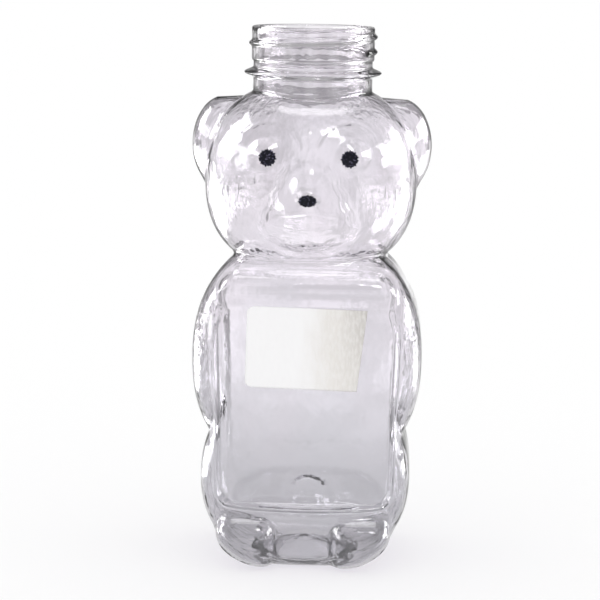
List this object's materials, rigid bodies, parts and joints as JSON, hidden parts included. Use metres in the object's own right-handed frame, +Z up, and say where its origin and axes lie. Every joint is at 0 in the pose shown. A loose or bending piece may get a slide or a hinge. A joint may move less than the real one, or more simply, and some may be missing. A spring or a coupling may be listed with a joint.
{
  "type": "honey bear bottle",
  "caption": "Clear blow-moulded squeeze bottle in the shape of a sitting bear, with an open threaded neck, printed eyes and nose, flat front and back panels and a blank paper label.",
  "frame": {"origin": "on the floor under the axis of the neck, which is the middle of the bottle's box", "axes": "+Z up along the axis of the neck, -Y the way the bear looks, +X to the right of someone who looks at its face"},
  "size_m": [0.082, 0.0674, 0.182],
  "materials": {
    "clear_plastic": "polished",
    "black_ink": "satin",
    "white_paper": "matte"
  },
  "bodies": {
    "root": {"bottle": "clear_plastic", "left_eye": "black_ink", "right_eye": "black_ink", "nose": "black_ink", "paper_label": "white_paper"}
  },
  "joints": []
}
